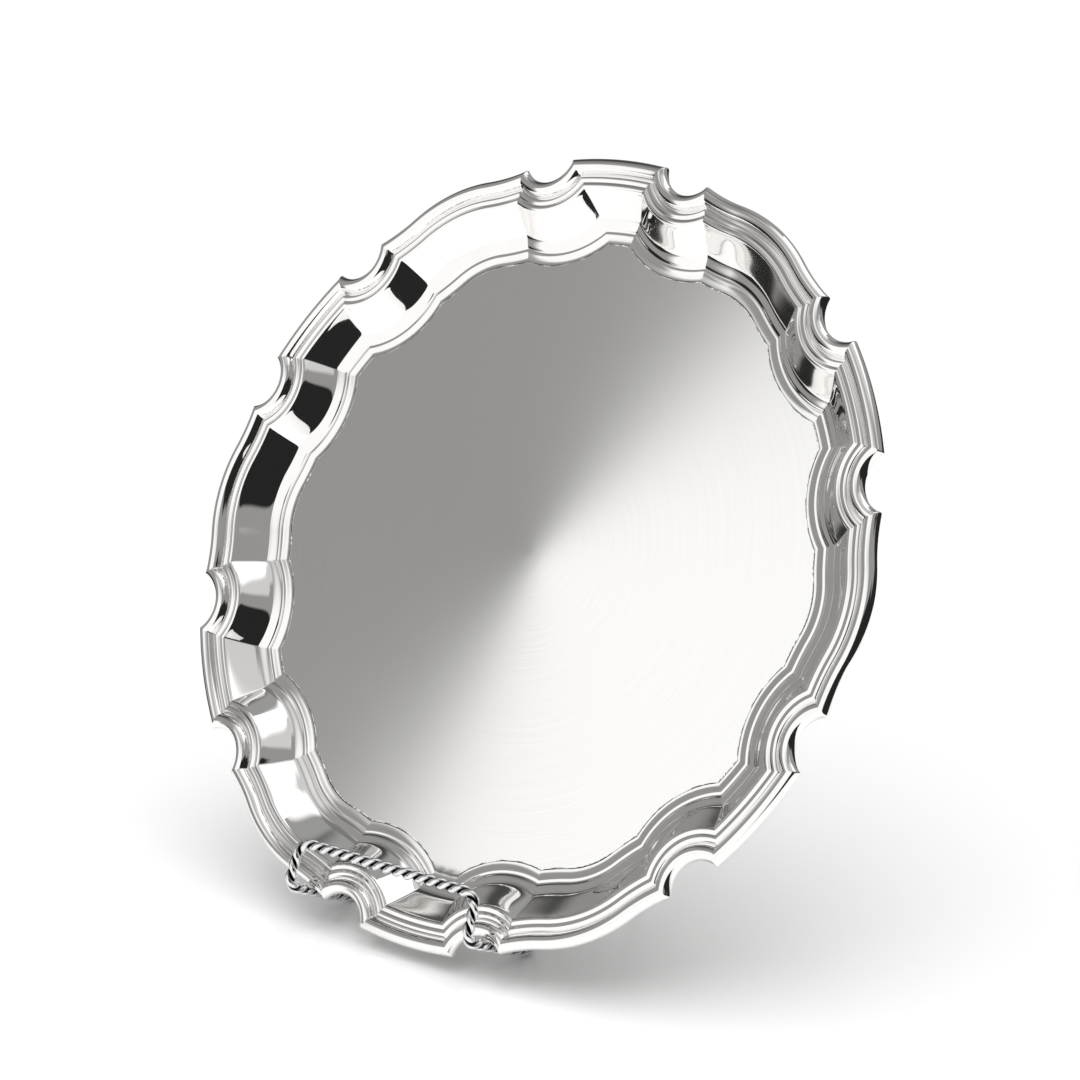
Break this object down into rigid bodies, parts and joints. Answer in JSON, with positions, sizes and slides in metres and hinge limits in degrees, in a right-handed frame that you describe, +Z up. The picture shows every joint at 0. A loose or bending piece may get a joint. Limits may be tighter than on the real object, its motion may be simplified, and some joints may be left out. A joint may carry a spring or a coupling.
{
  "type": "offering plate",
  "caption": "Round scalloped metal offering plate with a raised moulded border and flat well, held upright in a folding twisted-wire display easel.",
  "frame": {"origin": "middle of the whole object's footprint, on the surface it stands on", "axes": "+Z up, the plate faces -Y and leans back 27 degrees, +X to the right of someone facing the plate"},
  "size_m": [0.3062, 0.191, 0.278],
  "materials": {
    "dish_silver": "polished wall, satin well",
    "border_silver": "polished",
    "twisted_wire": "bright plated",
    "hinge_metal": "bright plated"
  },
  "bodies": {
    "easel": {"front_guard_bar": "twisted_wire", "left_hook_leg": "twisted_wire", "right_hook_leg": "twisted_wire", "lower_cross_brace": "twisted_wire", "left_top_eye": "hinge_metal", "right_top_eye": "hinge_metal", "hinge_rod": "hinge_metal", "left_rod_collar": "hinge_metal", "right_rod_collar": "hinge_metal", "opening_stop": "hinge_metal"},
    "plate": {"dish": "dish_silver", "border_moulding": "border_silver"},
    "back_leg": {"back_leg": "twisted_wire", "back_leg_eye": "hinge_metal", "back_leg_tip": "hinge_metal"}
  },
  "joints": [
    {"name": "plate_lift", "type": "slide", "parent": "easel", "child": "plate", "axis": [0, 0.454, 0.891], "range_m": [0, 0.07]},
    {"name": "back_leg_fold", "type": "hinge", "parent": "easel", "child": "back_leg", "pos_m": [-0.0093, 0.00398, 0.14727], "axis": [-1, 0, 0], "range_deg": [0, 54]}
  ]
}
